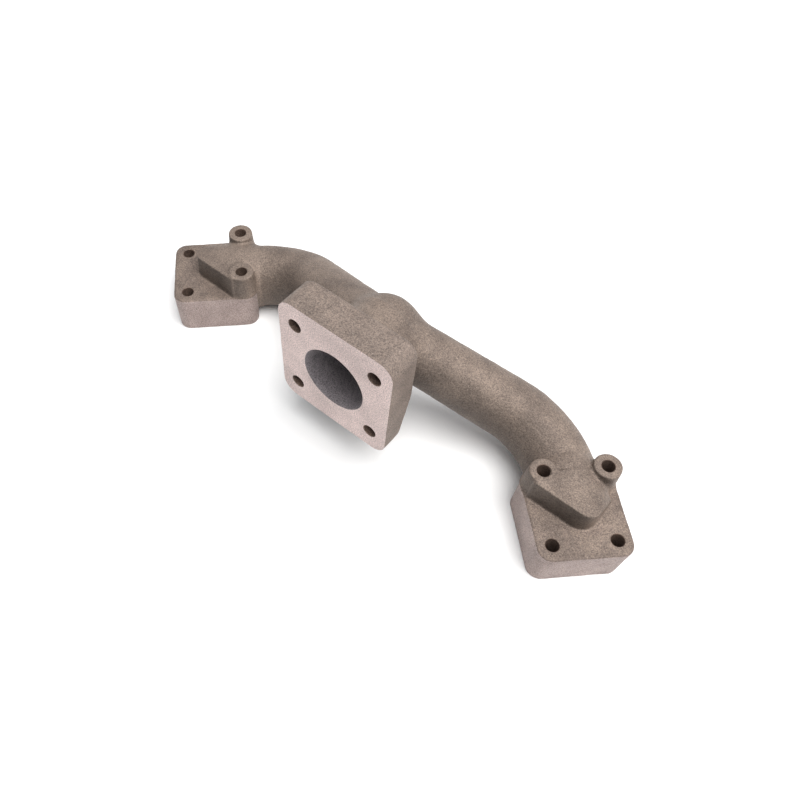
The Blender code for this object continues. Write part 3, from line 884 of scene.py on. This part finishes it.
def build_floor():
    corners = ((-1, -1), (1, -1), (1, 1), (-1, 1))
    points = [(x * FLOOR_REACH, y * FLOOR_REACH, FLOOR_Z) for x, y in corners]
    mesh = bpy.data.meshes.new("floor")
    mesh.from_pydata(points, [], [(0, 1, 2, 3)])
    floor = bpy.data.objects.new("floor", mesh)
    bpy.context.scene.collection.objects.link(floor)
    material = bpy.data.materials.new("white_floor")
    material.use_nodes = True
    shader = material.node_tree.nodes["Principled BSDF"]
    shader.inputs["Base Color"].default_value = (0.95, 0.95, 0.95, 1)
    shader.inputs["Roughness"].default_value = 0.9
    mesh.materials.append(material)


def build_sky():
    """Pale studio walls, brightest above and behind the casting."""
    world = bpy.data.worlds.new("studio")
    world.use_nodes = True
    nodes, links = world.node_tree.nodes, world.node_tree.links
    background = nodes["Background"]
    background.inputs["Color"].default_value = (0.94, 0.97, 1.0, 1)
    toward = nodes.new("ShaderNodeVectorMath")
    toward.operation = "DOT_PRODUCT"
    links.new(nodes.new("ShaderNodeTexCoord").outputs["Generated"], toward.inputs[0])
    toward.inputs[1].default_value = SKY_BRIGHTEST
    level = nodes.new("ShaderNodeMapRange")
    level.interpolation_type = "SMOOTHSTEP"
    links.new(toward.outputs["Value"], level.inputs["Value"])
    level.inputs["From Min"].default_value = -0.5
    level.inputs["From Max"].default_value = 0.9
    level.inputs["To Min"].default_value = SKY_LEVELS[0]
    level.inputs["To Max"].default_value = SKY_LEVELS[1]
    links.new(level.outputs["Result"], background.inputs["Strength"])
    bpy.context.scene.world = world


def build_key():
    """One large soft light, above and a little to the right."""
    light = bpy.data.lights.new("key", "AREA")
    light.shape = "DISK"
    light.size = KEY_SIZE
    light.energy = KEY_POWER
    light.color = (1.0, 0.985, 0.97)
    item = bpy.data.objects.new("key", light)
    bpy.context.scene.collection.objects.link(item)
    away = Vector(KEY_DIRECTION).normalized()
    item.location = MIDDLE + away * KEY_DISTANCE
    item.rotation_mode = "QUATERNION"
    item.rotation_quaternion = away.to_track_quat("Z", "Y")


def build_stage():
    build_floor()
    build_sky()
    build_key()
    view = bpy.context.scene.view_settings
    view.view_transform = "Standard"
    view.look = "None"


def build_camera():
    data = bpy.data.cameras.new("camera")
    data.sensor_width = 36.0
    data.lens = CAMERA_LENS
    data.shift_x, data.shift_y = CAMERA_SHIFT
    data.clip_start = 0.01
    camera = bpy.data.objects.new("camera", data)
    bpy.context.scene.collection.objects.link(camera)
    camera.location = MIDDLE + Vector(CAMERA_PLACE)
    level = math.cos(CAMERA_ELEVATION)
    back = Vector((
        math.sin(CAMERA_AZIMUTH) * level, -math.cos(CAMERA_AZIMUTH) * level, math.sin(CAMERA_ELEVATION)
    ))
    camera.rotation_mode = "QUATERNION"
    camera.rotation_quaternion = (-back).to_track_quat("-Z", "Y")
    bpy.context.scene.camera = camera


build_camera()
build_stage()
build_pieces(build_casting(), make_materials())
